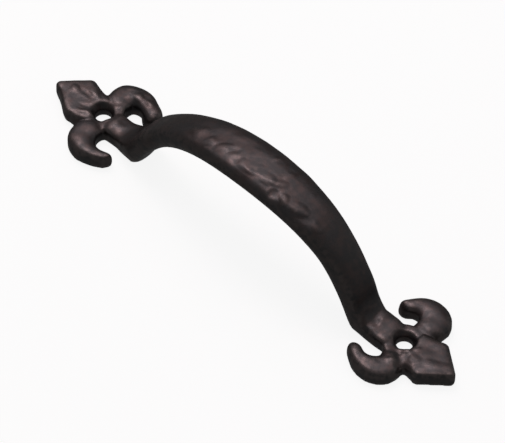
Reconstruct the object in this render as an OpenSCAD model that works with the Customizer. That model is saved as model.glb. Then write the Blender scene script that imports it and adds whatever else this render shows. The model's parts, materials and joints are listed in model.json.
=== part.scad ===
// Grab handle cast in one piece: a bowed grip between two fleur-de-lis end plates.
// The flat back lies on z = 0, the handle runs along x, and the grip stands up along z.
// The plates were shaped by hand, so the two ends differ a little, and so do their far sides
// (y above 0) and near sides (y below 0).
// All sizes are in millimetres and all angles in degrees.

/* [Grip] */
// Height of the grip's crown above the back
projection = 44.8; // [38:0.2:58]
// Distance between the heels, where the undersides of the two legs meet the back
heel_spacing = 106; // [98:0.2:114]
// Width of the grip at its crown
grip_width = 20.8; // [15:0.2:24]
// Thickness of the grip at its crown
grip_thickness = 8; // [6:0.2:11]
// Share of the crown's thickness that is domed
grip_dome = 0.55; // [0.4:0.05:0.55]
// Squareness of the grip's section: 2 is an oval, 4 is nearly a box
grip_squareness = 2.5; // [2:0.1:4]
// How soon the grip swells to its full width: 1 is soon, 3 is gradual
grip_swell = 2.6; // [1:0.1:3.4]
// How far the crown leans towards the right end
crown_shift = 3.4; // [-5:0.1:5]

/* [Bow] */
// Slope of the legs above the back
leg_angle = 67; // [54:1:72]
// Thickness of a leg above its heel
leg_thickness = 8.1; // [5.6:0.1:9.6]
// Share of a leg's thickness that is rounded on its underside
leg_belly = 0.42; // [0.1:0.01:0.44]
// Length of the straight pull at the foot of the bow, as a share of its rise
bow_lift = 0.72; // [0.5:0.01:0.84]
// Length of the flat pull at the crown of the bow, as a share of its half span
bow_flat = 0.43; // [0.35:0.01:0.6]
// Radius of the rounded heel under a leg
heel_radius = 2.9; // [1:0.1:6]
// Radius of the hollow between the strap and the leg's outer face
throat_radius = 12.2; // [4:0.2:13]

/* [Straps] */
// Width of the left strap beside its screw boss
left_strap_width = 10.4; // [8:0.1:14]
// Width of the right strap beside its screw boss
right_strap_width = 11.8; // [8:0.1:14]
// Width of the bulge over the left heel, where the strap turns up into the leg
left_heel_width = 14; // [8:0.1:15]
// Width of the bulge over the right heel
right_heel_width = 12.3; // [8:0.1:15]
// Width of the left leg above its heel, before the grip swells
left_leg_width = 9.9; // [8:0.1:14]
// Width of the right leg above its heel
right_leg_width = 11.3; // [8:0.1:14]
// Thickness of the strap
strap_thickness = 6.2; // [5:0.1:7]

/* [End plates] */
// Distance between the centres of the two screw holes
hole_spacing = 152; // [146:0.5:158]
// How far the casting's middle lies to the right of the middle of the screw holes
casting_along = 0.7; // [-2:0.1:2]
// How far the casting's middle line lies to the far side of the line through the screw holes
casting_across = -0.7; // [-1.5:0.1:1.5]
// Thickness of the end plates over their domed tops
plate_thickness = 6.2; // [5.6:0.1:8]
// Radius of the round boss that the screw hole goes through
boss_radius = 7.6; // [6.6:0.1:9]
// How far the boss lies below the plate's top
boss_drop = 0.9; // [0.3:0.1:1.2]

/* [Left spear] */
// Distance from the plate's centre to the tip
left_spear_reach = 23.5; // [21:0.1:32]
// How far the tip lies to the far side of the plate's middle line
left_spear_lean = -0.4; // [-2:0.1:2]
// Distance from the plate's centre to the far corner, along the handle
left_far_corner = 14.5; // [10:0.1:15]
// Distance from the plate's centre to the near corner, along the handle
left_near_corner = 10.7; // [10:0.1:15]
// Distance from the plate's middle line to the far corner
left_spear_far_width = 9.6; // [8:0.1:12]
// Distance from the plate's middle line to the near corner
left_spear_near_width = 9; // [8:0.1:12]
// Width of the neck between the spear and its screw boss
left_neck_width = 13.4; // [11:0.1:15]

/* [Right spear] */
// Distance from the plate's centre to the tip
right_spear_reach = 22.8; // [21:0.1:32]
// How far the tip lies to the far side of the plate's middle line
right_spear_lean = 1.1; // [-2:0.1:2]
// Distance from the plate's centre to the far corner, along the handle
right_far_corner = 11.6; // [10:0.1:15]
// Distance from the plate's centre to the near corner, along the handle
right_near_corner = 12.6; // [10:0.1:15]
// Distance from the plate's middle line to the far corner
right_spear_far_width = 10.3; // [8:0.1:12]
// Distance from the plate's middle line to the near corner
right_spear_near_width = 8.7; // [8:0.1:12]
// Width of the neck between the spear and its screw boss
right_neck_width = 14.4; // [11:0.1:15]

/* [Both spears] */
// Radius of the corners of a spear
corner_radius = 2.1; // [1:0.1:3.4]
// Radius of the tip of a spear
spear_tip_radius = 1.5; // [0.8:0.1:3]
// Height of the bevelled edge round a spear's flat top
spear_bevel = 1.2; // [0.6:0.1:2.4]

/* [Left far curl] */
// Distance from the plate's centre back to the curl's eye, along the handle
left_far_setback = 6.8; // [5:0.1:10]
// Distance from the plate's middle line to the curl's eye
left_far_offset = 8.1; // [7:0.1:11]
// Radius of the eye that the curl turns round
left_far_eye = 3; // [2.4:0.1:4.2]
// Width of the curl where it is widest
left_far_width = 10.9; // [8:0.1:13]
// Width of the curl just before its rounded tip
left_far_tip = 6.8; // [4:0.1:7]
// Angle round the eye at which the rounded tip starts
left_far_sweep = 132; // [115:1:150]

/* [Left near curl] */
// Distance from the plate's centre back to the curl's eye, along the handle
left_near_setback = 9.7; // [5:0.1:10]
// Distance from the plate's middle line to the curl's eye
left_near_offset = 7.6; // [7:0.1:11]
// Radius of the eye that the curl turns round
left_near_eye = 4.3; // [2.4:0.1:4.4]
// Width of the curl where it is widest
left_near_width = 10.6; // [8:0.1:13]
// Width of the curl just before its rounded tip
left_near_tip = 4; // [4:0.1:7]
// Angle round the eye at which the rounded tip starts
left_near_sweep = 128; // [115:1:150]

/* [Right far curl] */
// Distance from the plate's centre back to the curl's eye, along the handle
right_far_setback = 5.9; // [5:0.1:10]
// Distance from the plate's middle line to the curl's eye
right_far_offset = 10.3; // [7:0.1:11]
// Radius of the eye that the curl turns round
right_far_eye = 2.4; // [2.4:0.1:4.2]
// Width of the curl where it is widest
right_far_width = 11.9; // [8:0.1:13]
// Width of the curl just before its rounded tip
right_far_tip = 5.1; // [4:0.1:7]
// Angle round the eye at which the rounded tip starts
right_far_sweep = 150; // [115:1:150]

/* [Right near curl] */
// Distance from the plate's centre back to the curl's eye, along the handle
right_near_setback = 6.4; // [5:0.1:10]
// Distance from the plate's middle line to the curl's eye
right_near_offset = 8.4; // [7:0.1:11]
// Radius of the eye that the curl turns round
right_near_eye = 3.8; // [2.4:0.1:4.2]
// Width of the curl where it is widest
right_near_width = 10.1; // [8:0.1:13]
// Width of the curl just before its rounded tip
right_near_tip = 5.3; // [4:0.1:7]
// Angle round the eye at which the rounded tip starts
right_near_sweep = 130; // [115:1:150]

/* [All curls] */
// Growth of the eye's radius from a curl's root to its tip
eye_growth = 1.1; // [0:0.1:1.4]
// Width of a curl at its root
curl_root_width = 7.5; // [7:0.1:10.4]
// Share of the sweep at which a curl is widest
curl_belly = 0.39; // [0.25:0.01:0.6]
// Height of the dome over a curl
curl_dome = 2.4; // [1.2:0.1:3]

/* [Screw holes] */
// Diameter of the hole for the screw's shank
hole_diameter = 6.3; // [4.4:0.1:6.6]
// Diameter of the countersink at the boss's face
countersink_diameter = 8.8; // [7:0.1:11]
// Length of the hole's straight wall
bore_length = 3; // [1.2:0.1:3.2]
// Width of the chamfer round the hole in the back
back_chamfer = 0.4; // [0.2:0.1:1]

/* [Hidden] */

iron = [0.13, 0.115, 0.11];
hole_x = hole_spacing / 2;
heel_x = heel_spacing / 2;
boss_face = plate_thickness - boss_drop;

// How far each part runs on below the back before the back is cut flat
strap_sunk = 0.8;
curl_sunk = 1.2;
spear_sunk = 1.6;
boss_sunk = 2;

// How far a strap's end and a spear's neck reach into the boss from the plate's centre
root_reach = 2;
// How far a strap and a curl's root start below the boss's face
strap_tuck = 0.4;
curl_tuck = 0.5;

function clamp(t) = max(0, min(1, t));
function ease(t) = t * t * (3 - 2 * t);
function mix(a, b, t) = a + (b - a) * t;
function unit(v) = v / norm(v);

// Point at share t of the cubic curve that leaves a towards b and reaches d from c
function curve(a, b, c, d, t) = a * pow(1 - t, 3) + b * 3 * t * pow(1 - t, 2)
    + c * 3 * t * t * (1 - t) + d * pow(t, 3);

// Arc of the given radius in the corner at b, between the lines to a and to c
function corner_arc(a, b, c, radius, steps) =
    let (u = unit(a - b), v = unit(c - b), half = acos(u * v) / 2,
        centre = b + unit(u + v) * radius / sin(half),
        from = b + u * radius / tan(half) - centre,
        to = b + v * radius / tan(half) - centre)
    [for (i = [0 : steps]) centre + radius * unit(mix(from, to, i / steps))];

// A closed solid through a list of rings with the same number of points each
module loft(rings) {
    n = len(rings[0]);
    last = len(rings) - 1;
    points = [for (ring = rings) each ring];
    sides = [for (k = [0 : last - 1]) for (i = [0 : n - 1]) let (j = (i + 1) % n) each [
        [k * n + i, k * n + j, (k + 1) * n + j],
        [k * n + i, (k + 1) * n + j, (k + 1) * n + i]]];
    caps = [[for (i = [n - 1 : -1 : 0]) i], [for (i = [0 : n - 1]) last * n + i]];
    polyhedron(points = points, faces = concat(caps, sides), convexity = 8);
}

// Half of a squared oval: [across, up] points over the full width, from right to left
function half_oval(width, rise, squareness, steps) = [for (i = [0 : steps])
    let (a = 180 * i / steps, c = cos(a), s = max(sin(a), 0))
    [width / 2 * sign(c) * pow(abs(c), 2 / squareness), rise * pow(s, 2 / squareness)]];

// Stations along the bow: the strap's two ends, then the bend, then the curve up to the crown
bend_start = 2;
bend_steps = 6;
bow_steps = 18;
boss_edge = hole_x - 0.8 * boss_radius;

// One edge of the bow in the xz plane
function bow_edge(end_z, level, bend_x, radius, crown_z) =
    let (start = bend_x + radius * tan(leg_angle / 2),
        foot = [start - radius * sin(leg_angle), level + radius * (1 - cos(leg_angle))],
        lift = bow_lift * (crown_z - foot[1]) / sin(leg_angle),
        flat = bow_flat * foot[0])
    concat([[hole_x - root_reach, end_z], [boss_edge, level]],
        [for (i = [0 : bend_steps - 1]) let (a = leg_angle * i / bend_steps)
            [start - radius * sin(a), level + radius * (1 - cos(a))]],
        [for (i = [0 : bow_steps]) curve(foot, foot + lift * [-cos(leg_angle), sin(leg_angle)],
            [flat, crown_z], [0, crown_z], i / bow_steps)]);

throat_x = heel_x + (leg_thickness - strap_thickness * cos(leg_angle)) / sin(leg_angle);
under_edge = bow_edge(-strap_sunk, -strap_sunk, heel_x + strap_sunk / tan(leg_angle), heel_radius,
    projection - grip_thickness);
over_edge = bow_edge(boss_face - strap_tuck, strap_thickness, throat_x, throat_radius, projection);
crown_station = len(under_edge) - 1;

// Shares of the strap's thickness that are rounded on its top and on its underside
strap_dome = 0.24;
strap_belly = 0.06;
// Squareness of the strap's top and of the whole bar's underside
strap_squareness = 3.4;
belly_squareness = 2.4;
// Number of stations that the bulge over a heel runs over
bulge_steps = 14;

// Ring of the grip across the bar, between the two edges of the bow at station i
function grip_ring(i, side, strap_width, heel_width, leg_width) =
    let (low = under_edge[i], rise = over_edge[i] - low, up = unit(rise), height = norm(rise),
        bend = i - bend_start,
        full = pow(sin(90 * clamp((bend - 2) / (crown_station - bend_start - 2))), grip_swell),
        bulge = (heel_width - leg_width) * pow(sin(180 * clamp((bend + 1) / bulge_steps)), 2),
        foot_width = mix(strap_width, leg_width, ease(clamp((bend - 1) / bend_steps))) + bulge,
        width = mix(foot_width, grip_width, full),
        dome = mix(strap_dome, grip_dome, full) * height,
        belly = mix(strap_belly, leg_belly, ease(clamp(bend / (bend_steps - 1)))) * height,
        section = concat(
            [for (q = half_oval(width, dome, mix(strap_squareness, grip_squareness, full), 12))
                [q[0], height - dome + q[1]]],
            [for (q = half_oval(width, belly, belly_squareness, 6)) [-q[0], belly - q[1]]]))
    [for (q = section) let (z = low[1] + up[1] * q[1])
        [side * (low[0] + up[0] * q[1]) + crown_shift * ease(clamp(z / projection)), q[0], z]];

module grip() {
    right = [for (i = [0 : crown_station])
        grip_ring(i, 1, right_strap_width, right_heel_width, right_leg_width)];
    left = [for (i = [crown_station - 1 : -1 : 0])
        grip_ring(i, -1, left_strap_width, left_heel_width, left_leg_width)];
    loft(concat(right, left));
}

// Half outline of a spear: neck, rounded corner, straight flank and rounded tip up to its middle
function spear_half(reach, lean, corner, neck_width) =
    let (centre = [reach - spear_tip_radius, lean], neck = [root_reach, neck_width / 2],
        from = corner - centre,
        turn = atan2(from[1], from[0]) - acos(spear_tip_radius / norm(from)),
        touch = centre + spear_tip_radius * [cos(turn), sin(turn)])
    concat([neck], corner_arc(neck, corner, touch, corner_radius, 6),
        [for (i = [0 : 5]) let (a = turn * (1 - i / 6)) centre + spear_tip_radius * [cos(a), sin(a)]]);

// Shares of a spear's outline and of its bevel's depth at each step up its bevelled top
spear_steps = [[1, 1], [0.975, 0.6], [0.92, 0.26], [0.83, 0.07], [0.62, 0]];

// A spear along x from the plate's centre, with its corners as [along, across] from there
module spear(reach, lean, far_corner, near_corner, neck_width) {
    far = spear_half(reach, lean, far_corner, neck_width);
    near = spear_half(reach, -lean, near_corner, neck_width);
    outline = concat(far, [[reach, lean]], [for (i = [len(near) - 1 : -1 : 0]) [near[i][0], -near[i][1]]]);
    middle = [(far_corner[0] + near_corner[0]) / 2, lean / 2];
    loft(concat([[for (q = outline) [q[0], q[1], -spear_sunk]]],
        [for (s = spear_steps) [for (q = outline) let (p = middle + (q - middle) * s[0])
            [p[0], p[1], plate_thickness - spear_bevel * s[1]]]]));
}

// Width of a curl at share t of its sweep
function curl_width(t, widest, tip_width) =
    t < curl_belly ? mix(curl_root_width, widest, ease(t / curl_belly))
        : mix(widest, tip_width, ease((t - curl_belly) / (1 - curl_belly)));

// Squareness of a curl's domed top, and its dome's greatest height as a share of the width
curl_squareness = 2.3;
dome_share = 0.42;

// Ring of a curl at angle a round its eye, with the middle of its width at radius r
function curl_ring(a, r, width, height) =
    let (dome = min(curl_dome, dome_share * width),
        section = concat([[width / 2, -curl_sunk]],
            [for (q = half_oval(width, dome, curl_squareness, 10)) [q[0], height - dome + q[1]]],
            [[-width / 2, -curl_sunk]]))
    [for (q = section) [(r + q[0]) * cos(a), (r + q[0]) * sin(a), q[1]]];

// Angle round the eye at which a curl starts inside the boss, and the steps of its sweep
curl_root_angle = -40;
sweep_steps = 18;
// Share of the sweep over which a curl rises from the boss to the plate's top
curl_rise = 0.25;
// Angles of the steps round a curl's tip, and how far the tip falls as a share of the dome
tip_angles = [18, 36, 52, 66, 78, 86];
tip_fall = 0.9;

// A curl from inside the boss round its eye to a rounded tip
module curl(setback, offset, eye_radius, widest, tip_width, sweep) {
    tip_r = eye_radius + eye_growth + tip_width / 2;
    body = [for (i = [0 : sweep_steps])
        let (t = i / sweep_steps, width = curl_width(t, widest, tip_width))
        curl_ring(mix(curl_root_angle, sweep, t), eye_radius + eye_growth * t * t + width / 2, width,
            plate_thickness - (boss_drop + curl_tuck) * (1 - ease(clamp(t / curl_rise))))];
    tip = [for (b = tip_angles)
        curl_ring(sweep + asin(tip_width / 2 * sin(b) / tip_r), tip_r, tip_width * cos(b),
            plate_thickness - tip_fall * curl_dome * (1 - cos(b)))];
    translate([-setback, offset, 0]) loft(concat(body, tip));
}

// Spear and two curls of the right end plate, round its centre
module right_plate() {
    spear(right_spear_reach, right_spear_lean, [right_far_corner, right_spear_far_width],
        [right_near_corner, right_spear_near_width], right_neck_width);
    curl(right_far_setback, right_far_offset, right_far_eye, right_far_width, right_far_tip,
        right_far_sweep);
    mirror([0, 1, 0]) curl(right_near_setback, right_near_offset, right_near_eye, right_near_width,
        right_near_tip, right_near_sweep);
}

// Spear and two curls of the left end plate, round its centre and mirrored to point right
module left_plate() {
    spear(left_spear_reach, left_spear_lean, [left_far_corner, left_spear_far_width],
        [left_near_corner, left_spear_near_width], left_neck_width);
    curl(left_far_setback, left_far_offset, left_far_eye, left_far_width, left_far_tip,
        left_far_sweep);
    mirror([0, 1, 0]) curl(left_near_setback, left_near_offset, left_near_eye, left_near_width,
        left_near_tip, left_near_sweep);
}

module screw_boss() {
    translate([0, 0, -boss_sunk]) cylinder(r = boss_radius, h = boss_face + boss_sunk, $fn = 64);
}

// Straight wall with a chamfer at the back and a countersink at the boss's face
module screw_hole() {
    past = 1;
    countersink_start = back_chamfer + bore_length;
    grow = (countersink_diameter - hole_diameter) / (boss_face - countersink_start);
    above = boss_drop + past;
    translate([0, 0, -boss_sunk - past])
        cylinder(d = hole_diameter, h = boss_face + boss_sunk + past, $fn = 48);
    translate([0, 0, -past])
        cylinder(d1 = hole_diameter + 2 * (back_chamfer + past), d2 = hole_diameter,
            h = back_chamfer + past, $fn = 48);
    translate([0, 0, countersink_start])
        cylinder(d1 = hole_diameter, d2 = countersink_diameter + grow * above,
            h = boss_face - countersink_start + above, $fn = 48);
}

module grab_handle() {
    color(iron)
    difference() {
        union() {
            translate([casting_along, casting_across, 0]) {
                grip();
                translate([hole_x, 0, 0]) right_plate();
                mirror([1, 0, 0]) translate([hole_x, 0, 0]) left_plate();
            }
            for (x = [-hole_x, hole_x]) translate([x, 0, 0]) screw_boss();
        }
        for (x = [-hole_x, hole_x]) translate([x, 0, 0]) screw_hole();
        translate([0, 0, -10]) cube([2 * hole_spacing, 100, 20], center = true);
    }
}

grab_handle();
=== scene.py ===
"""A cast-iron grab handle with fleur-de-lis ends, dressed in its black antique finish.

The casting is remeshed from the frame's solid, softened as sand-cast edges are, and worked over
with hammer marks, winding relief and grain. A pale floor, soft studio light and the camera
complete it.
"""

import json
import logging
import math
from dataclasses import dataclass
from enum import Enum

import bmesh
import bpy
import numpy as np
from mathutils import Matrix, Vector

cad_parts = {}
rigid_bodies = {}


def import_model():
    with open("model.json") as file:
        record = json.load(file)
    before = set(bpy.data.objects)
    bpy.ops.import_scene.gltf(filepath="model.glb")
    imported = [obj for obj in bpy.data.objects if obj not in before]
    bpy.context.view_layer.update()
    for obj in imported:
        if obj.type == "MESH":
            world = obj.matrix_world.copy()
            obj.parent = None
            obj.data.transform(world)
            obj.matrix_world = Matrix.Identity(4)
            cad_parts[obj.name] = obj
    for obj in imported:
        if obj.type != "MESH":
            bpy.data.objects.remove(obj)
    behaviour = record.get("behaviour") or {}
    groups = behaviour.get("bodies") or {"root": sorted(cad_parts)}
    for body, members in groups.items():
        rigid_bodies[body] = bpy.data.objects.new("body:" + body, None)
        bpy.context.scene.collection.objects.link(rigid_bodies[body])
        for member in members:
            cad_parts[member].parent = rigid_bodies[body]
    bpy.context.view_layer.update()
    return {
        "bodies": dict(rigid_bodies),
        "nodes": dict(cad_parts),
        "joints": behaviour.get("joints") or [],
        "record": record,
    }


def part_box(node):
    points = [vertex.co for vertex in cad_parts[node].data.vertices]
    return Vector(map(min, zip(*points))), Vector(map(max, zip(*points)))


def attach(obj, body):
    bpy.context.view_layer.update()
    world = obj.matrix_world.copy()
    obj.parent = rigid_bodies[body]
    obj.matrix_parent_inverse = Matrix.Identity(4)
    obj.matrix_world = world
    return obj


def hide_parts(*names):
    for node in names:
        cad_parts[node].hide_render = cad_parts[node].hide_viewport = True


MM = 0.001
PHOTO_WIDTH = 505
SENSOR_WIDTH_MM = 36.0
# Mesh layer of the share of wear and painted highlight on the casting's high points.
WEAR_AND_HIGHLIGHT_LAYER = "wear_and_highlight"
WHITE = (1.0, 1.0, 1.0, 1.0)
TINY = 1e-12

Colour = tuple[float, float, float]

log = logging.getLogger("grab_handle")


def smoothstep(low: float, high: float, values: np.ndarray) -> np.ndarray:
    """Ease each value from 0 at low to 1 at high.

    Args:
        low: value at which the result leaves 0.
        high: value at which the result reaches 1.
        values: values to ease.

    Returns:
        The eased values, from 0 to 1.
    """
    share = np.clip((values - low) / (high - low), 0.0, 1.0)
    return share * share * (3.0 - 2.0 * share)


@dataclass(frozen=True)
class Ramp:
    """Range over which a share eases from 0 to 1.

    Attributes:
        low: value at which the share leaves 0.
        high: value at which it reaches 1; where that is below low, the share falls off.
    """

    low: float
    high: float

    def at(self, values: np.ndarray) -> np.ndarray:
        """Share at each value, from 0 to 1."""
        return smoothstep(self.low, self.high, values)


@dataclass(frozen=True)
class LatticeNoise:
    """Smooth seeded noise from random numbers on a cubic lattice.

    Attributes:
        seed: seed of the lattice's random numbers.
        side: lattice points along one side, after which the noise repeats.
        start: where the handle's middle lies in the lattice, as a share of its side.
    """

    seed: int
    side: int = 32
    start: float = 0.37

    def at(self, points: np.ndarray, pitch: np.ndarray | float) -> np.ndarray:
        """Read the noise at points.

        Args:
            points: positions, one row each.
            pitch: size of a lattice cell, for all axes or for each one.

        Returns:
            One value from -1 to 1 for each point.
        """
        lattice = np.random.default_rng(self.seed).uniform(-1.0, 1.0, (self.side,) * 3)
        scaled = points / pitch + self.start * self.side
        cell = np.floor(scaled).astype(int)
        share = smoothstep(0.0, 1.0, scaled - cell)
        total = np.zeros(len(points))
        for corner in np.ndindex(2, 2, 2):
            weight = np.ones(len(points))
            for axis, far in enumerate(corner):
                weight *= share[:, axis] if far else 1.0 - share[:, axis]
            index = (cell + corner) % self.side
            total += weight * lattice[index[:, 0], index[:, 1], index[:, 2]]
        return total


def wandered(points: np.ndarray, reach: float, pitch: float, seed: int) -> np.ndarray:
    """Move points about by smooth noise.

    Args:
        points: positions in mm, one row each.
        reach: how far a point moves along each axis at most, in mm.
        pitch: size of the noise's cells, in mm.
        seed: number that the three axes' seeds follow.

    Returns:
        The moved positions.
    """
    noise = [LatticeNoise(seed + axis).at(points, pitch) for axis in (1, 2, 3)]
    return points + reach * np.stack(noise, axis=1)


def turned(points: np.ndarray, degrees: float) -> np.ndarray:
    """Give positions in axes that are turned in plan.

    Args:
        points: positions, one row each.
        degrees: angle of the new first axis from the handle's direction.

    Returns:
        The positions along and across the new first axis, with their heights.
    """
    c, s = math.cos(math.radians(degrees)), math.sin(math.radians(degrees))
    along = points[:, 0] * c + points[:, 1] * s
    across = points[:, 1] * c - points[:, 0] * s
    return np.stack([along, across, points[:, 2]], axis=1)


class SurfaceMesh:
    """Vertices and quads of a closed mesh in millimetres, with the measures that shaping needs."""

    def __init__(self, mesh: bpy.types.Mesh) -> None:
        """Read a Blender mesh.

        Args:
            mesh: mesh in metres.
        """
        self.points = np.zeros(len(mesh.vertices) * 3)
        mesh.vertices.foreach_get("co", self.points)
        self.points = self.points.reshape(-1, 3) / MM
        self.edges = np.zeros(len(mesh.edges) * 2, int)
        mesh.edges.foreach_get("vertices", self.edges)
        self.edges = self.edges.reshape(-1, 2)
        self.corners = np.zeros(len(mesh.loops), int)
        mesh.loops.foreach_get("vertex_index", self.corners)
        self.links = np.bincount(self.edges.ravel(), minlength=len(self.points)).astype(float)

    def mean_of_neighbours(self, values: np.ndarray) -> np.ndarray:
        """Average each vertex's neighbours.

        Args:
            values: one row for each vertex.

        Returns:
            The neighbours' mean for each vertex.
        """
        columns = values.reshape(len(self.points), -1)
        total = np.empty_like(columns)
        first, second = self.edges.T
        for k in range(columns.shape[1]):
            total[:, k] = np.bincount(first, columns[second, k], len(self.points))
            total[:, k] += np.bincount(second, columns[first, k], len(self.points))
        return (total / self.links[:, None]).reshape(values.shape)

    def smooth(self, values: np.ndarray, rounds: int,
               share: np.ndarray | float = 1.0) -> np.ndarray:
        """Blend values with their neighbours' mean.

        Args:
            values: one row for each vertex.
            rounds: how many times to blend.
            share: how far each vertex moves towards the mean.

        Returns:
            The blended values.
        """
        for _ in range(rounds):
            values = values + share * (self.mean_of_neighbours(values) - values)
        return values

    def normals(self) -> np.ndarray:
        """Work out the vertices' normals, from the diagonals of the quads round them.

        Returns:
            One unit normal for each vertex.
        """
        quads = self.corners.reshape(-1, 4)
        a, b, c, d = (self.points[quads[:, k]] for k in range(4))
        across = np.cross(c - a, d - b)
        total = np.stack([np.bincount(quads.ravel(), np.repeat(across[:, k], 4), len(self.points))
                          for k in range(3)], axis=1)
        lengths = np.maximum(np.linalg.norm(total, axis=1), TINY)
        return total / lengths[:, None]

    def write_to(self, mesh: bpy.types.Mesh) -> None:
        """Write the vertices back to a Blender mesh, in metres."""
        mesh.vertices.foreach_set("co", (self.points * MM).ravel())
        mesh.update()


@dataclass(frozen=True)
class HammerMark:
    """One dent, crease, ridge or lump on the casting's upper side.

    Attributes:
        x: place along the handle, in mm.
        y: place across the handle, in mm.
        length: size along its own direction, in mm.
        width: size across that direction, in mm.
        depth: depth at the middle, in mm; below 0 is a raised ridge or lump.
        turn: angle of its direction from the handle's, in degrees.
        fade: power with which the depth fades towards the rim.
    """

    x: float
    y: float
    length: float
    width: float
    depth: float
    turn: float = 0.0
    fade: float = 1.5

    def press(self, points: np.ndarray) -> np.ndarray:
        """Depth of the mark at points.

        Args:
            points: positions in mm, one row each.

        Returns:
            One depth in mm for each point.
        """
        along, across, _ = turned(points - (self.x, self.y, 0.0), self.turn).T
        radius = (2 * along / self.length) ** 2 + (2 * across / self.width) ** 2
        return self.depth * np.clip(1.0 - radius, 0.0, 1.0) ** self.fade


@dataclass(frozen=True)
class DrawnOut:
    """One place where a side of the casting is drawn a little out of or into its solid.

    Attributes:
        x: place along the handle, in mm.
        y: place across the handle, in mm.
        radius: distance at which the shift has faded out, in mm.
        shift_x: shift along the handle at the middle, in mm.
        shift_y: shift across the handle at the middle, in mm.
        height: height at which the shift has faded out, in mm; by default it never does.
    """

    x: float
    y: float
    radius: float
    shift_x: float
    shift_y: float
    height: float = math.inf

    def shift(self, points: np.ndarray) -> np.ndarray:
        """Shift of points.

        Args:
            points: positions in mm, one row each.

        Returns:
            One shift in mm for each point.
        """
        distance = np.hypot(points[:, 0] - self.x, points[:, 1] - self.y) / self.radius
        share = np.clip(1.0 - distance ** 2, 0.0, 1.0) ** 2
        if math.isfinite(self.height):
            share *= smoothstep(self.height, 0.0, points[:, 2])
        return share[:, None] * np.array([self.shift_x, self.shift_y, 0.0])


class Region(Enum):
    """Parts of the casting that are hammered in their own way."""

    GRIP = "grip"
    PLATES = "plates"


@dataclass(frozen=True)
class HammeredRelief:
    """Soft, winding relief, as hammering leaves it.

    Attributes:
        region: where it lies.
        height: height above and depth below the smooth surface, in mm.
        along: size of a ripple along its length, in mm.
        across: size of a ripple across its length, in mm.
        turn: angle of the ripples from the handle's direction, in degrees.
        winding: how far the ripples wander, in mm.
        seed: seed of the relief.
    """

    region: Region
    height: float
    along: float
    across: float
    turn: float
    winding: float
    seed: int

    def press(self, points: np.ndarray) -> np.ndarray:
        """Depth of the relief at points.

        Args:
            points: positions in mm, one row each.

        Returns:
            One depth in mm for each point, below 0 where the relief stands up.
        """
        bend_pitch = 2.0 * self.across
        ripple_pitch = np.array([self.along, self.across, self.along])
        moved = turned(wandered(points, self.winding, bend_pitch, self.seed), self.turn)
        return self.height * LatticeNoise(self.seed).at(moved, ripple_pitch)


# Dents, creases and lumps on the grip's top, from its left end to its right.
# Each is x, y, length, width, depth and turn.
GRIP_MARKS = (
    HammerMark(-23.5, -3.0, 8.0, 7.0, -0.38, 20.0),
    HammerMark(-16.5, -4.4, 9.0, 5.0, -0.30, 50.0),
    HammerMark(-10.5, -4.2, 9.0, 5.0, -0.28, 35.0),
    HammerMark(-6.5, -3.0, 7.0, 4.0, 0.18, 42.0),
    HammerMark(-3.0, -6.4, 4.5, 4.0, 0.14),
    HammerMark(1.0, -0.6, 8.0, 3.6, -0.20, 38.0),
    HammerMark(4.0, -4.6, 14.0, 7.0, -0.38, 12.0),
    HammerMark(5.0, -1.6, 8.0, 3.0, 0.14, 38.0),
    HammerMark(7.5, 4.6, 8.0, 3.4, -0.18, 42.0),
    HammerMark(11.2, -4.8, 7.0, 6.5, -0.36),
    HammerMark(15.5, -3.4, 9.0, 4.4, -0.28, 42.0),
    HammerMark(16.5, 1.8, 7.0, 4.4, -0.20, 42.0),
    HammerMark(16.8, -7.8, 5.5, 4.0, 0.38, 35.0),
    HammerMark(21.2, -6.2, 5.6, 4.8, -0.38),
    HammerMark(27.0, -5.2, 10.0, 5.6, -0.36, 25.0),
    HammerMark(31.0, -6.6, 8.0, 5.0, 0.24),
    HammerMark(36.0, -4.4, 5.0, 4.5, -0.20),
)
# Ridges, creases and lumps on the left end plate, from its spear to its strap.
LEFT_PLATE_MARKS = (
    HammerMark(-93.5, -4.8, 8.0, 6.0, 0.30, -35.0),
    HammerMark(-91.8, 0.8, 4.5, 4.5, -0.34),
    HammerMark(-86.5, 1.8, 9.0, 3.8, 0.24, -10.0),
    HammerMark(-84.5, 4.6, 10.0, 3.4, -0.34, -20.0),
    HammerMark(-82.5, -2.2, 8.0, 2.6, 0.16, 22.0),
    HammerMark(-80.5, -4.6, 10.0, 3.2, -0.30, 22.0),
    HammerMark(-77.6, -5.0, 3.8, 3.8, -0.28),
    HammerMark(-76.5, 15.5, 4.0, 3.0, -0.15),
    HammerMark(-73.2, -1.2, 4.4, 3.8, -0.36),
    HammerMark(-71.5, 14.0, 5.0, 4.5, -0.35),
    HammerMark(-69.0, 16.6, 4.0, 3.5, 0.15),
    HammerMark(-68.8, -1.0, 13.0, 8.5, -0.48, -5.0),
    HammerMark(-66.6, 14.6, 4.5, 4.2, -0.35),
)
# Ridges, creases and lumps on the right end plate, from its strap to its spear.
RIGHT_PLATE_MARKS = (
    HammerMark(62.2, -2.4, 7.0, 17.0, 0.70),
    HammerMark(67.0, 4.0, 10.0, 17.0, -0.48),
    HammerMark(72.0, -14.2, 11.0, 8.0, -0.38),
    HammerMark(76.0, -13.6, 4.0, 3.0, 0.10),
    HammerMark(78.8, -10.4, 4.5, 4.0, -0.25),
    HammerMark(79.0, -4.0, 6.0, 3.6, -0.36, 10.0),
    HammerMark(81.8, -8.0, 12.0, 7.5, 0.75, -42.0),
    HammerMark(82.5, -0.4, 4.0, 3.0, -0.15, 42.0),
    HammerMark(84.0, 9.5, 7.0, 5.0, 0.30, 45.0),
    HammerMark(85.0, -4.6, 5.0, 4.5, -0.22, 28.0),
    HammerMark(92.0, -1.0, 12.0, 6.0, -0.32, 28.0),
)
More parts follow.
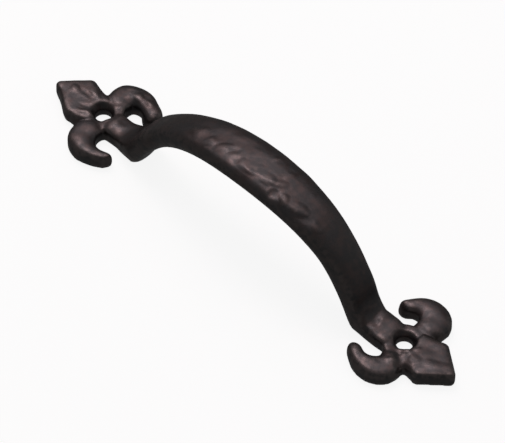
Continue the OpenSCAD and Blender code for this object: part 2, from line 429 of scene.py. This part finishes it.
# Shifts of the left plate's sides and of the left leg's, each on top of those before it.
# Each is x, y, radius, the two shifts and the height. Two with opposite shifts at one place
# lean a wall: its upper edge moves and its foot stays.
LEFT_SHIFTS = (
    DrawnOut(-97.0, -1.5, 4.0, -0.2, -0.3),
    DrawnOut(-88.0, -9.0, 6.0, -0.2, -0.25),
    DrawnOut(-81.2, -9.4, 3.5, -1.2, -1.0),
    DrawnOut(-80.0, 14.0, 7.0, -0.45, 0.35),
    DrawnOut(-71.5, 8.0, 3.0, 0.6, 0.4),
    DrawnOut(-71.4, 9.2, 5.0, -0.6, 0.9),
    DrawnOut(-71.4, 9.2, 5.0, 0.6, -0.9, 5.0),
    DrawnOut(-63.8, 9.8, 3.5, -0.3, -0.9, 5.0),
    DrawnOut(-62.0, -17.5, 6.0, 0.2, -0.4),
    DrawnOut(-61.5, 15.5, 5.0, 0.7, 0.2),
    DrawnOut(-61.0, 9.6, 5.0, -0.9, -0.7, 4.5),
    DrawnOut(-61.0, 10.0, 4.0, 0.2, -0.7),
    DrawnOut(-58.8, -13.4, 7.0, 0.9, 0.2),
    DrawnOut(-58.5, -14.5, 3.0, -0.5, 0.2),
    DrawnOut(-58.4, -7.0, 6.0, 0.0, -0.65),
    DrawnOut(-50.0, -7.0, 9.0, 0.1, -0.6),
)
# Shifts of the right leg's sides and of the right plate's, in the same way.
RIGHT_SHIFTS = (
    DrawnOut(48.0, -6.0, 10.0, -0.2, -0.38),
    DrawnOut(57.0, 5.5, 6.0, 0.25, 0.4),
    DrawnOut(65.0, -6.5, 8.0, -0.1, -0.4),
    DrawnOut(64.6, 10.0, 5.0, 0.0, 1.1),
    DrawnOut(64.6, 10.0, 5.0, 0.0, -1.1, 5.0),
    DrawnOut(69.8, 8.8, 3.5, 0.8, 0.4),
    DrawnOut(69.8, 8.8, 3.5, -0.8, -0.4, 5.0),
    DrawnOut(64.5, 10.5, 5.0, -0.4, -0.4),
    DrawnOut(64.5, -15.0, 5.0, -0.4, 0.2),
    DrawnOut(67.5, 11.5, 5.0, 0.1, -0.45),
    DrawnOut(71.0, -12.5, 5.0, 0.1, -0.5),
    DrawnOut(73.5, -8.0, 3.5, -0.9, -0.4),
)


class Mixed(Enum):
    """What a mixing node mixes, by the node's own words."""

    NUMBERS = "FLOAT"
    COLOURS = "RGBA"


@dataclass(frozen=True)
class Clouds:
    """Noise texture in a finish.

    Attributes:
        scale: cells for each metre.
        detail: octaves of finer noise.
        roughness: share of the height that each octave keeps.
    """

    scale: float
    detail: float
    roughness: float = 0.5


class FinishNodes:
    """Node tree of one finish, and the kinds of node that it takes."""

    def __init__(self, material: bpy.types.Material) -> None:
        """Take over a material's nodes.

        Args:
            material: material that uses nodes.
        """
        self.tree = material.node_tree
        self.shader = self.tree.nodes["Principled BSDF"]

    def feed(self, socket: bpy.types.NodeSocket,
             value: bpy.types.NodeSocket | float | tuple[float, ...]) -> None:
        """Link a socket to another, or set its own value.

        Args:
            socket: socket to feed.
            value: the other socket, a number or a colour.
        """
        if isinstance(value, bpy.types.NodeSocket):
            self.tree.links.new(value, socket)
        else:
            socket.default_value = value

    def clouds(self, place: bpy.types.NodeSocket, clouds: Clouds) -> bpy.types.NodeSocket:
        """Add a noise texture.

        Args:
            place: socket of the coordinates, in metres.
            clouds: the noise.

        Returns:
            The socket of its value.
        """
        node = self.tree.nodes.new("ShaderNodeTexNoise")
        node.inputs["Scale"].default_value = clouds.scale
        node.inputs["Detail"].default_value = clouds.detail
        node.inputs["Roughness"].default_value = clouds.roughness
        self.feed(node.inputs["Vector"], place)
        return node.outputs["Fac"]

    def ease(self, value: bpy.types.NodeSocket, ramp: Ramp, start: float = 0.0,
             end: float = 1.0) -> bpy.types.NodeSocket:
        """Ease a value from one number to another over a range.

        Args:
            value: socket of the value.
            ramp: the range.
            start: result at its low end.
            end: result at its high end.

        Returns:
            The socket of the result.
        """
        node = self.tree.nodes.new("ShaderNodeMapRange")
        node.interpolation_type = "SMOOTHSTEP"
        node.inputs["From Min"].default_value = ramp.low
        node.inputs["From Max"].default_value = ramp.high
        node.inputs["To Min"].default_value = start
        node.inputs["To Max"].default_value = end
        self.feed(node.inputs["Value"], value)
        return node.outputs["Result"]

    def mix(self, kind: Mixed, first: bpy.types.NodeSocket | tuple[float, ...],
            second: bpy.types.NodeSocket | tuple[float, ...],
            share: bpy.types.NodeSocket | float) -> bpy.types.NodeSocket:
        """Mix two numbers or two colours.

        Args:
            kind: what is mixed.
            first: first of the two, as a socket or a colour.
            second: second of the two, as a socket or a colour.
            share: share of the second, as a socket or a number.

        Returns:
            The socket of the mix.
        """
        node = self.tree.nodes.new("ShaderNodeMix")
        node.data_type = kind.value
        self.feed(node.inputs["Factor"], share)
        self.feed(node.inputs["A"], first)
        self.feed(node.inputs["B"], second)
        return node.outputs["Result"]

    def product(self, first: bpy.types.NodeSocket,
                second: bpy.types.NodeSocket) -> bpy.types.NodeSocket:
        """Multiply two values.

        Args:
            first: socket of the first value.
            second: socket of the second value.

        Returns:
            The socket of the product.
        """
        node = self.tree.nodes.new("ShaderNodeMath")
        node.operation = "MULTIPLY"
        self.feed(node.inputs[0], first)
        self.feed(node.inputs[1], second)
        return node.outputs["Value"]


@dataclass(frozen=True)
class AntiqueBlackIron:
    """Satin black antique finish with a brown cast, over cast iron.

    Attributes:
        name: material's name.
        black: colour in the hollows and on most of the surface.
        brown: colour where the finish is thin.
        rubbed_and_highlight: colour of the high edges and lumps, partly where handling has rubbed
            the finish and partly a painted highlight.
        metallic: how far it reflects as bare metal does.
        roughness: lowest and highest roughness.
        grain: height of the cast grain, in mm.
        patches: large patches of thicker and thinner finish.
        mottle: small spots in the colour and the gloss.
        mottle_share: share of the spots in where the finish is thin.
        thin: levels of the two together over which black turns to brown.
        scuffed_and_highlight: levels of the spots over which the rubbed colour and painted
            highlight set in.
        satin: levels of the spots over which the roughness falls.
        coarse_grain: the larger grains.
        fine_grain: the smaller grains.
        fine_share: share of the smaller grains.
    """

    name: str = "black_iron"
    black: Colour = (0.100, 0.097, 0.099)
    brown: Colour = (0.130, 0.106, 0.103)
    rubbed_and_highlight: Colour = (0.19, 0.165, 0.16)
    metallic: float = 0.9
    roughness: tuple[float, float] = (0.32, 0.44)
    grain: float = 0.03
    patches: Clouds = Clouds(160.0, 4.0, 0.55)
    mottle: Clouds = Clouds(450.0, 3.0)
    mottle_share: float = 0.45
    thin: Ramp = Ramp(0.40, 0.62)
    scuffed_and_highlight: Ramp = Ramp(0.30, 0.60)
    satin: Ramp = Ramp(0.35, 0.65)
    coarse_grain: Clouds = Clouds(800.0, 2.0)
    fine_grain: Clouds = Clouds(2200.0, 2.0)
    fine_share: float = 0.4

    def make(self) -> bpy.types.Material:
        """Build the finish as a node material.

        Returns:
            The material.
        """
        material = bpy.data.materials.new(self.name)
        material.use_nodes = True
        nodes = FinishNodes(material)
        shader = nodes.shader
        shader.inputs["Metallic"].default_value = self.metallic
        place = nodes.tree.nodes.new("ShaderNodeTexCoord").outputs["Object"]
        mottle = nodes.clouds(place, self.mottle)
        nodes.feed(shader.inputs["Base Color"], self._colour(nodes, place, mottle))
        smoothest, roughest = self.roughness
        nodes.feed(shader.inputs["Roughness"], nodes.ease(mottle, self.satin, roughest, smoothest))
        bump = nodes.tree.nodes.new("ShaderNodeBump")
        bump.inputs["Strength"].default_value = 1.0
        bump.inputs["Distance"].default_value = self.grain * MM
        coarse = nodes.clouds(place, self.coarse_grain)
        fine = nodes.clouds(place, self.fine_grain)
        nodes.feed(bump.inputs["Height"], nodes.mix(Mixed.NUMBERS, coarse, fine, self.fine_share))
        nodes.feed(shader.inputs["Normal"], bump.outputs["Normal"])
        return material

    def _colour(self, nodes: FinishNodes, place: bpy.types.NodeSocket,
                mottle: bpy.types.NodeSocket) -> bpy.types.NodeSocket:
        """Mix the finish's colours.

        Args:
            nodes: the finish's nodes.
            place: socket of the coordinates, in metres.
            mottle: socket of the small spots.

        Returns:
            The socket of the colour.
        """
        patches = nodes.clouds(place, self.patches)
        spots = nodes.mix(Mixed.NUMBERS, patches, mottle, self.mottle_share)
        thinness = nodes.ease(spots, self.thin)
        base = nodes.mix(Mixed.COLOURS, (*self.black, 1.0), (*self.brown, 1.0), thinness)
        # Painted highlight: the rubbed colour lightens convex high points, partly as real wear of
        # the finish and partly as a painted highlight.
        wear_and_highlight = nodes.tree.nodes.new("ShaderNodeAttribute")
        wear_and_highlight.attribute_name = WEAR_AND_HIGHLIGHT_LAYER
        scuffs_and_highlight = nodes.product(wear_and_highlight.outputs["Fac"], nodes.ease(mottle, self.scuffed_and_highlight))
        return nodes.mix(Mixed.COLOURS, base, (*self.rubbed_and_highlight, 1.0), scuffs_and_highlight)


@dataclass(frozen=True)
class CastEdges:
    """How far the casting's edges are rounded.

    Attributes:
        share: how far each round moves a vertex towards its neighbours' mean.
        rounds: rounds over the whole surface.
        worn_rounds: further rounds on the legs and straps and in the valleys.
        leg: distances from the handle's middle over which these set in, in mm.
        strap: distances from the handle's middle over which they end, in mm.
        valleys: middles of the valleys between the spears and the curls, x and y in mm.
        valley: distances from a valley's middle over which they set in, in mm.
        back: heights over which the back's own form sets in, in mm.
        resting: height below which the surface lies flat on the floor, in mm.
    """

    share: float = 0.5
    rounds: int = 6
    worn_rounds: int = 24
    leg: Ramp = Ramp(34.0, 44.0)
    strap: Ramp = Ramp(69.0, 64.0)
    valleys: tuple[tuple[float, float], ...] = (
        (84.0, -10.5), (84.0, 10.5), (-84.0, -10.0), (-83.0, 10.0),
    )
    valley: Ramp = Ramp(5.5, 2.5)
    back: Ramp = Ramp(0.9, 0.2)
    resting: float = 0.05

    def soften(self, surface: SurfaceMesh) -> None:
        """Round the edges as a sand casting's are, and keep the back flat.

        Args:
            surface: surface to round.
        """
        height = surface.points[:, 2]
        worn = self.share * self._worn(surface.points)[:, None]
        softened = surface.smooth(surface.points, self.rounds, self.share)
        softened = surface.smooth(softened, self.worn_rounds, worn)
        back = self.back.at(height)
        eased = softened[:, 2] * (1 - back) + height * back
        softened[:, 2] = np.where(height < self.resting, 0.0, eased)
        surface.points = softened

    def _worn(self, points: np.ndarray) -> np.ndarray:
        """Share of the further rounds at points.

        Args:
            points: positions in mm, one row each.

        Returns:
            One share for each point, from 0 to 1.
        """
        along = np.abs(points[:, 0])
        worn = self.leg.at(along) * self.strap.at(along)
        for x, y in self.valleys:
            distance = np.hypot(points[:, 0] - x, points[:, 1] - y)
            worn = np.maximum(worn, self.valley.at(distance))
        return worn


@dataclass(frozen=True)
class HandWork:
    """Hammering and grain on the casting's surface, and the share of wear and painted highlight on
    its high points.

    Attributes:
        skin: how far the surface stands out to make up for the rounding, in mm.
        marks: dents, creases, ridges and lumps with a place of their own.
        irregular: how far the marks' outlines wander, in mm.
        irregular_pitch: size of the cells of that wander, in mm.
        reliefs: the hammered relief of each region.
        grain_height: height of the modelled grain, in mm.
        grain_pitch: size of its cells, in mm.
        seed: seed of the grain, which the seeds of the marks' wander follow.
        facing_up: upward shares of the normal over which hammering sets in.
        off_back: heights over which all the work sets in, in mm.
        grip_middle: middle of the grip's hammered length along the handle, in mm.
        grip_height: heights over which the grip's relief sets in, in mm.
        grip_length: distances from its middle over which it sets in, in mm.
        plate_height: heights over which the plates' relief sets in, in mm.
        plate_start: distances from that middle over which it sets in, in mm.
        bulge_rounds: rounds of smoothing that the high edges are measured against.
        blur_rounds: rounds that blur the shares and the wear and painted highlight.
        wear_and_highlight: heights above the smoothed surface over which wear and painted
            highlight set in, in mm.
    """

    skin: float = 0.14
    marks: tuple[HammerMark, ...] = GRIP_MARKS + LEFT_PLATE_MARKS + RIGHT_PLATE_MARKS
    irregular: float = 0.9
    irregular_pitch: float = 3.2
    reliefs: tuple[HammeredRelief, ...] = (
        HammeredRelief(Region.GRIP, height=0.11, along=6.5, across=3.6, turn=35.0,
                       winding=1.0, seed=11),
        HammeredRelief(Region.GRIP, height=0.16, along=14.0, across=8.0, turn=10.0,
                       winding=2.0, seed=21),
        HammeredRelief(Region.PLATES, height=0.13, along=5.0, across=3.6, turn=35.0,
                       winding=1.0, seed=31),
    )
    grain_height: float = 0.012
    grain_pitch: float = 1.1
    seed: int = 6
    facing_up: Ramp = Ramp(0.1, 0.6)
    off_back: Ramp = Ramp(0.3, 1.5)
    grip_middle: float = 2.0
    grip_height: Ramp = Ramp(9.0, 16.0)
    grip_length: Ramp = Ramp(42.0, 28.0)
    plate_height: Ramp = Ramp(10.0, 7.0)
    plate_start: Ramp = Ramp(60.0, 64.0)
    bulge_rounds: int = 6
    blur_rounds: int = 2
    wear_and_highlight: Ramp = Ramp(0.02, 0.10)

    def work(self, surface: SurfaceMesh) -> np.ndarray:
        """Press the marks, the relief and the grain into the surface.

        Args:
            surface: surface to work over.

        Returns:
            Share of wear and painted highlight at each vertex, from 0 to 1.
        """
        normals = surface.normals()
        lifted = surface.smooth(self.off_back.at(surface.points[:, 2]), self.blur_rounds)
        depth = self._depth(surface.points, self.facing_up.at(normals[:, 2]))
        surface.points = surface.points - normals * (depth * lifted)[:, None]
        # Convex high points get the rubbed colour: partly real wear, partly a painted highlight.
        smoothed = surface.smooth(surface.points, self.bulge_rounds)
        bulge = np.einsum("ij,ij->i", surface.points - smoothed, surface.normals())
        return self.wear_and_highlight.at(surface.smooth(bulge, self.blur_rounds)) * lifted

    def _depth(self, points: np.ndarray, up: np.ndarray) -> np.ndarray:
        """Depth of all the work at points.

        Args:
            points: positions in mm, one row each.
            up: how far each point faces up, from 0 to 1.

        Returns:
            One depth in mm for each point, below 0 where the surface stands out.
        """
        along = np.abs(points[:, 0] - self.grip_middle)
        shares = {
            Region.GRIP: self.grip_height.at(points[:, 2]) * self.grip_length.at(along) * up,
            Region.PLATES: self.plate_height.at(points[:, 2]) * self.plate_start.at(along) * up,
        }
        depth = np.full(len(points), -self.skin)
        for relief in self.reliefs:
            depth += relief.press(points) * shares[relief.region]
        moved = wandered(points, self.irregular, self.irregular_pitch, self.seed)
        for mark in self.marks:
            depth += mark.press(moved) * up
        return depth + self.grain_height * LatticeNoise(self.seed).at(points, self.grain_pitch)


@dataclass(frozen=True)
class Casting:
    """The handle itself: one casting, remeshed from its solid and worked over.

    Attributes:
        node: the solid that the casting replaces.
        finish: its finish.
        weld: distance within which the solid's vertices are joined, in mm.
        voxel: size of the remesh's cells, in mm.
        edges: how its edges are rounded.
        shifts: places at the curls' tips, in the notches and on the walls of the plates and
            legs that are drawn out of or into the solid, in their order.
        hand_work: its hammering and grain.
        ease: distance from the box's sides within which the surface is eased inwards, in mm.
    """

    node: str = "grab_handle"
    finish: AntiqueBlackIron = AntiqueBlackIron()
    weld: float = 0.001
    voxel: float = 0.42
    edges: CastEdges = CastEdges()
    shifts: tuple[DrawnOut, ...] = LEFT_SHIFTS + RIGHT_SHIFTS
    hand_work: HandWork = HandWork()
    ease: float = 0.06

    def build(self, frame: dict) -> bpy.types.Object:
        """Make the casting, dress it and put it in the solid's place.


        Returns:
            The casting.
        """
        low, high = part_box(self.node)
        piece = self._remesh(frame["nodes"][self.node])
        surface = SurfaceMesh(piece.data)
        self.edges.soften(surface)
        for place in self.shifts:
            surface.points += place.shift(surface.points)
        wear_and_highlight = self.hand_work.work(surface)
        self._keep_inside(surface, np.array(low) / MM, np.array(high) / MM)
        surface.write_to(piece.data)
        # Share of wear and painted highlight on the high points, which the finish reads.
        attribute = piece.data.attributes.new(WEAR_AND_HIGHLIGHT_LAYER, "FLOAT", "POINT")
        attribute.data.foreach_set("value", wear_and_highlight.astype(np.float32))
        piece.data.shade_smooth()
        piece.data.materials.clear()
        piece.data.materials.append(self.finish.make())
        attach(piece, "root")
        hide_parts(self.node)
        return piece

    def _remesh(self, solid: bpy.types.Object) -> bpy.types.Object:
        """Copy the solid's mesh and turn it into even quads.

        Args:
            solid: the solid's object.

        Returns:
            The new object.
        """
        piece = bpy.data.objects.new("handle_casting", solid.data.copy())
        bpy.context.scene.collection.objects.link(piece)
        welded = bmesh.new()
        welded.from_mesh(piece.data)
        bmesh.ops.remove_doubles(welded, verts=welded.verts, dist=self.weld * MM)
        welded.to_mesh(piece.data)
        welded.free()
        remesh = piece.modifiers.new("even_quads", "REMESH")
        remesh.mode = "VOXEL"
        remesh.voxel_size = self.voxel * MM
        remesh.adaptivity = 0.0
        remeshed = piece.evaluated_get(bpy.context.evaluated_depsgraph_get())
        even = bpy.data.meshes.new_from_object(remeshed)
        piece.modifiers.clear()
        piece.data = even
        return piece

    def _keep_inside(self, surface: SurfaceMesh, low: np.ndarray, high: np.ndarray) -> None:
        """Ease what stands out of the solid's box back into it.

        Args:
            surface: surface to keep inside.
            low: lowest corner of the box, in mm.
            high: highest corner of the box, in mm.
        """
        under_top = high - self.ease * np.logaddexp(0.0, (high - surface.points) / self.ease)
        inside = low + self.ease * np.logaddexp(0.0, (under_top - low) / self.ease)
        inside[:, 2] = under_top[:, 2]
        surface.points = np.clip(inside, low, high)


def view_axes(azimuth: float, elevation: float,
              roll: float = 0.0) -> tuple[Vector, Vector, Vector]:
    """Axes of something that looks at the handle.

    Args:
        azimuth: degrees round the handle from its near side, towards the right.
        elevation: degrees above the floor.
        roll: degrees anticlockwise about its own axis.

    Returns:
        Unit vectors back towards the viewer, to the right and up.
    """
    a, e = math.radians(azimuth), math.radians(elevation)
    back = Vector((math.sin(a) * math.cos(e), -math.cos(a) * math.cos(e), math.sin(e)))
    right = Matrix.Rotation(math.radians(roll), 3, back) @ Vector((math.cos(a), math.sin(a), 0.0))
    return back, right, back.cross(right)


@dataclass(frozen=True)
class Stand:
    """Place from which a light or the camera faces the handle.

    Attributes:
        azimuth: direction it stands in, in degrees round the handle from its near side.
        elevation: its height above the floor, in degrees.
        roll: how far it is turned anticlockwise about its own axis, in degrees.
        distance: distance from the point that it faces, in metres.
        aim_right: how far that point lies to the right of the origin, as it sees it, in metres.
        aim_up: how far that point lies above the origin, as it sees it, in metres.
    """

    azimuth: float
    elevation: float
    roll: float
    distance: float
    aim_right: float = 0.0
    aim_up: float = 0.0

    def put(self, item: bpy.types.Object) -> None:
        """Link an object to the scene and stand it in this place.

        Args:
            item: light or camera.
        """
        bpy.context.scene.collection.objects.link(item)
        back, right, up = view_axes(self.azimuth, self.elevation, self.roll)
        item.matrix_world = Matrix((right, up, back)).transposed().to_4x4()
        item.matrix_world.translation = (
            back * self.distance + right * self.aim_right + up * self.aim_up
        )


@dataclass(frozen=True)
class PaleFloor:
    """Plain pale floor that the handle lies on, lit from within like a light table.

    Attributes:
        colour: the floor's colour.
        roughness: how matt it is.
        glow: strength of its own light, which falls on nothing else.
        side: its length and width, in metres.
        drop: how far it lies under the handle's back, in metres.
    """

    colour: Colour = (0.27, 0.28, 0.28)
    roughness: float = 0.9
    glow: float = 0.88
    side: float = 6.0
    drop: float = 0.00005

    def build(self) -> bpy.types.Object:
        """Lay the floor.

        Returns:
            The floor.
        """
        half = self.side / 2
        mesh = bpy.data.meshes.new("floor")
        corners = [(-half, -half), (half, -half), (half, half), (-half, half)]
        mesh.from_pydata([(x, y, -self.drop) for x, y in corners], [], [(0, 1, 2, 3)])
        floor = bpy.data.objects.new("floor", mesh)
        bpy.context.scene.collection.objects.link(floor)
        material = bpy.data.materials.new("pale_floor")
        material.use_nodes = True
        shader = material.node_tree.nodes["Principled BSDF"]
        shader.inputs["Base Color"].default_value = (*self.colour, 1.0)
        shader.inputs["Roughness"].default_value = self.roughness
        shader.inputs["Specular IOR Level"].default_value = 0.0
        shader.inputs["Emission Color"].default_value = WHITE
        shader.inputs["Emission Strength"].default_value = self.glow
        floor.visible_diffuse = False
        floor.visible_glossy = False
        mesh.materials.append(material)
        return floor


@dataclass(frozen=True)
class SoftBox:
    """One rectangular studio light that faces the handle.

    Attributes:
        name: the light's name.
        stand: where it stands.
        width: length of its lower side, in metres.
        height: length of its upright side, in metres.
        power: its power, in watts.
        colour: its colour.
    """

    name: str
    stand: Stand
    width: float
    height: float
    power: float
    colour: Colour = (1.0, 1.0, 1.0)

    def build(self) -> bpy.types.Object:
        """Hang the light.

        Returns:
            The light.
        """
        lamp = bpy.data.lights.new(self.name, "AREA")
        lamp.shape = "RECTANGLE"
        lamp.size = self.width
        lamp.size_y = self.height
        lamp.energy = self.power
        lamp.color = self.colour
        light = bpy.data.objects.new(self.name, lamp)
        self.stand.put(light)
        return light


@dataclass(frozen=True)
class PhotoCamera:
    """Camera at the photograph's place.

    Attributes:
        stand: where it stands.
        focal_pixels: focal length, in the photograph's pixels.
        clip: nearest and furthest distance that it sees, in metres.
    """

    stand: Stand = Stand(azimuth=42.083, elevation=50.680, roll=2.112, distance=1.5788,
                         aim_right=0.00066, aim_up=0.00430)
    focal_pixels: float = 4318.5
    clip: tuple[float, float] = (0.05, 50.0)

    def build(self) -> bpy.types.Object:
        """Set the camera up as the scene's own.

        Returns:
            The camera.
        """
        data = bpy.data.cameras.new("camera")
        data.sensor_fit = "HORIZONTAL"
        data.sensor_width = SENSOR_WIDTH_MM
        data.lens = self.focal_pixels * SENSOR_WIDTH_MM / PHOTO_WIDTH
        data.clip_start, data.clip_end = self.clip
        camera = bpy.data.objects.new("camera", data)
        self.stand.put(camera)
        bpy.context.scene.camera = camera
        return camera


@dataclass(frozen=True)
class Studio:
    """Floor, lights, ambient light and camera.

    Attributes:
        floor: the floor.
        lights: the soft boxes.
        ambient: strength of the light from all round.
        camera: the camera.
    """

    floor: PaleFloor = PaleFloor()
    lights: tuple[SoftBox, ...] = (
        SoftBox("sky_box", Stand(azimuth=236.0, elevation=65.0, roll=29.0, distance=1.5),
                width=1.3, height=2.6, power=5.6, colour=(1.0, 0.83, 0.85)),
        SoftBox("bright_box", Stand(azimuth=246.0, elevation=64.0, roll=29.0, distance=1.5),
                width=0.45, height=0.6, power=2.4, colour=(1.0, 0.86, 0.88)),
        SoftBox("side_fill", Stand(azimuth=145.0, elevation=22.0, roll=0.0, distance=1.5),
                width=1.6, height=1.6, power=0.8),
    )
    ambient: float = 0.11
    camera: PhotoCamera = PhotoCamera()

    def build(self) -> list[bpy.types.Object]:
        """Set up the studio.

        Returns:
            The camera, the floor and the lights.
        """
        world = bpy.data.worlds.new("studio_air")
        world.use_nodes = True
        air = world.node_tree.nodes["Background"]
        air.inputs["Color"].default_value = WHITE
        air.inputs["Strength"].default_value = self.ambient
        bpy.context.scene.world = world
        bpy.context.scene.view_settings.view_transform = "Standard"
        return [self.camera.build(), self.floor.build(), *(light.build() for light in self.lights)]


def main() -> None:
    """Build the handle and its studio, and report each piece."""
    logging.basicConfig(level=logging.INFO, format="%(name)s: %(message)s")
    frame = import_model()
    for item in Studio().build():
        log.info("stage: %s", item.name)
    casting = Casting().build(frame)
    log.info("piece: %s, %d faces", casting.name, len(casting.data.polygons))
    bpy.context.view_layer.update()


if __name__ == "__main__":
    main()
